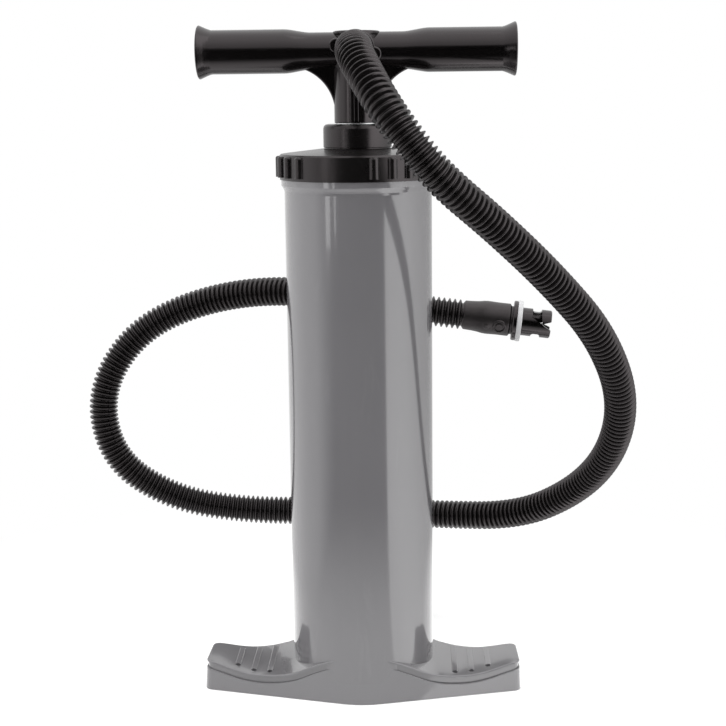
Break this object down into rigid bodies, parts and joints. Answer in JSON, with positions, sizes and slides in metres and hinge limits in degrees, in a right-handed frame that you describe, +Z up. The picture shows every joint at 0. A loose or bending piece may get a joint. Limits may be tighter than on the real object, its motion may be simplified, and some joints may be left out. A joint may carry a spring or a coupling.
{
  "type": "double action hand pump",
  "caption": "Upright double action hand pump with a standing base, T-handle, screw cap, hollow piston rod and a corrugated air hose with a bayonet nozzle.",
  "frame": {"origin": "on the floor on the barrel's axis, in the middle of the standing base", "axes": "+Z up along the barrel and rod; +X along the T-handle and the long side of the base, to the right seen from the front; -Y to the front, the side the hose leaves the handle"},
  "size_m": [0.4316, 0.3013, 0.4784],
  "materials": {
    "barrel_grey": "semi-gloss moulded plastic",
    "black_cap": "satin moulded plastic",
    "black_handle": "satin moulded plastic",
    "rod_aluminium": "drawn and anodised",
    "hose_black": "semi-gloss corrugated plastic",
    "gasket_grey": "soft matte rubber",
    "seal_black": "soft matte rubber",
    "inner_white": "plain moulded nylon",
    "screw_steel": "plain steel"
  },
  "bodies": {
    "barrel": {"barrel_and_base": "barrel_grey", "screw_cap": "black_cap", "rod_collar": "black_cap", "guide_bush": "inner_white", "rod_seal": "seal_black", "seal_retainer": "inner_white", "top_buffer_ring": "seal_black", "rim_seal_ring": "seal_black"},
    "piston_ring": {"piston_seal": "seal_black"},
    "handle": {"piston_lower_plate": "inner_white", "piston_upper_plate": "inner_white", "piston_screws": "screw_steel", "valve_pins": "inner_white", "rod_tube": "rod_aluminium", "rod_pins": "screw_steel", "inner_air_tube": "rod_aluminium", "handle_tee": "black_handle", "handle_end_cap_right": "black_handle", "handle_end_cap_left": "black_handle", "port_plug": "black_handle", "air_hose": "hose_black", "nozzle_cuff": "black_handle"},
    "nozzle": {"bayonet_adaptor": "black_handle", "nozzle_gasket": "gasket_grey"},
    "valve_upper_right": {"valve_disc_upper_right": "seal_black"},
    "valve_upper_left": {"valve_disc_upper_left": "seal_black"},
    "valve_lower_rear": {"valve_disc_lower_rear": "seal_black"},
    "valve_lower_front": {"valve_disc_lower_front": "seal_black"}
  },
  "joints": [
    {"name": "piston_stroke", "type": "slide", "parent": "barrel", "child": "piston_ring", "axis": [0, 0, 1], "range_m": [0, 0.292]},
    {"name": "rod_spin", "type": "hinge", "parent": "piston_ring", "child": "handle", "pos_m": [0, 0, 0.3], "axis": [0, 0, 1], "continuous": true},
    {"name": "nozzle_twist", "type": "hinge", "parent": "handle", "child": "nozzle", "pos_m": [0.09754, 0.08896, 0.25843], "axis": [0.9922, -0.0522, -0.1134], "continuous": true},
    {"name": "valve_lift_upper_right", "type": "slide", "parent": "handle", "child": "valve_upper_right", "axis": [0, 0, 1], "range_m": [0, 0.0012]},
    {"name": "valve_lift_upper_left", "type": "slide", "parent": "handle", "child": "valve_upper_left", "axis": [0, 0, 1], "range_m": [0, 0.0012]},
    {"name": "valve_close_lower_rear", "type": "slide", "parent": "handle", "child": "valve_lower_rear", "axis": [0, 0, 1], "range_m": [0, 0.0012]},
    {"name": "valve_close_lower_front", "type": "slide", "parent": "handle", "child": "valve_lower_front", "axis": [0, 0, 1], "range_m": [0, 0.0012]}
  ]
}
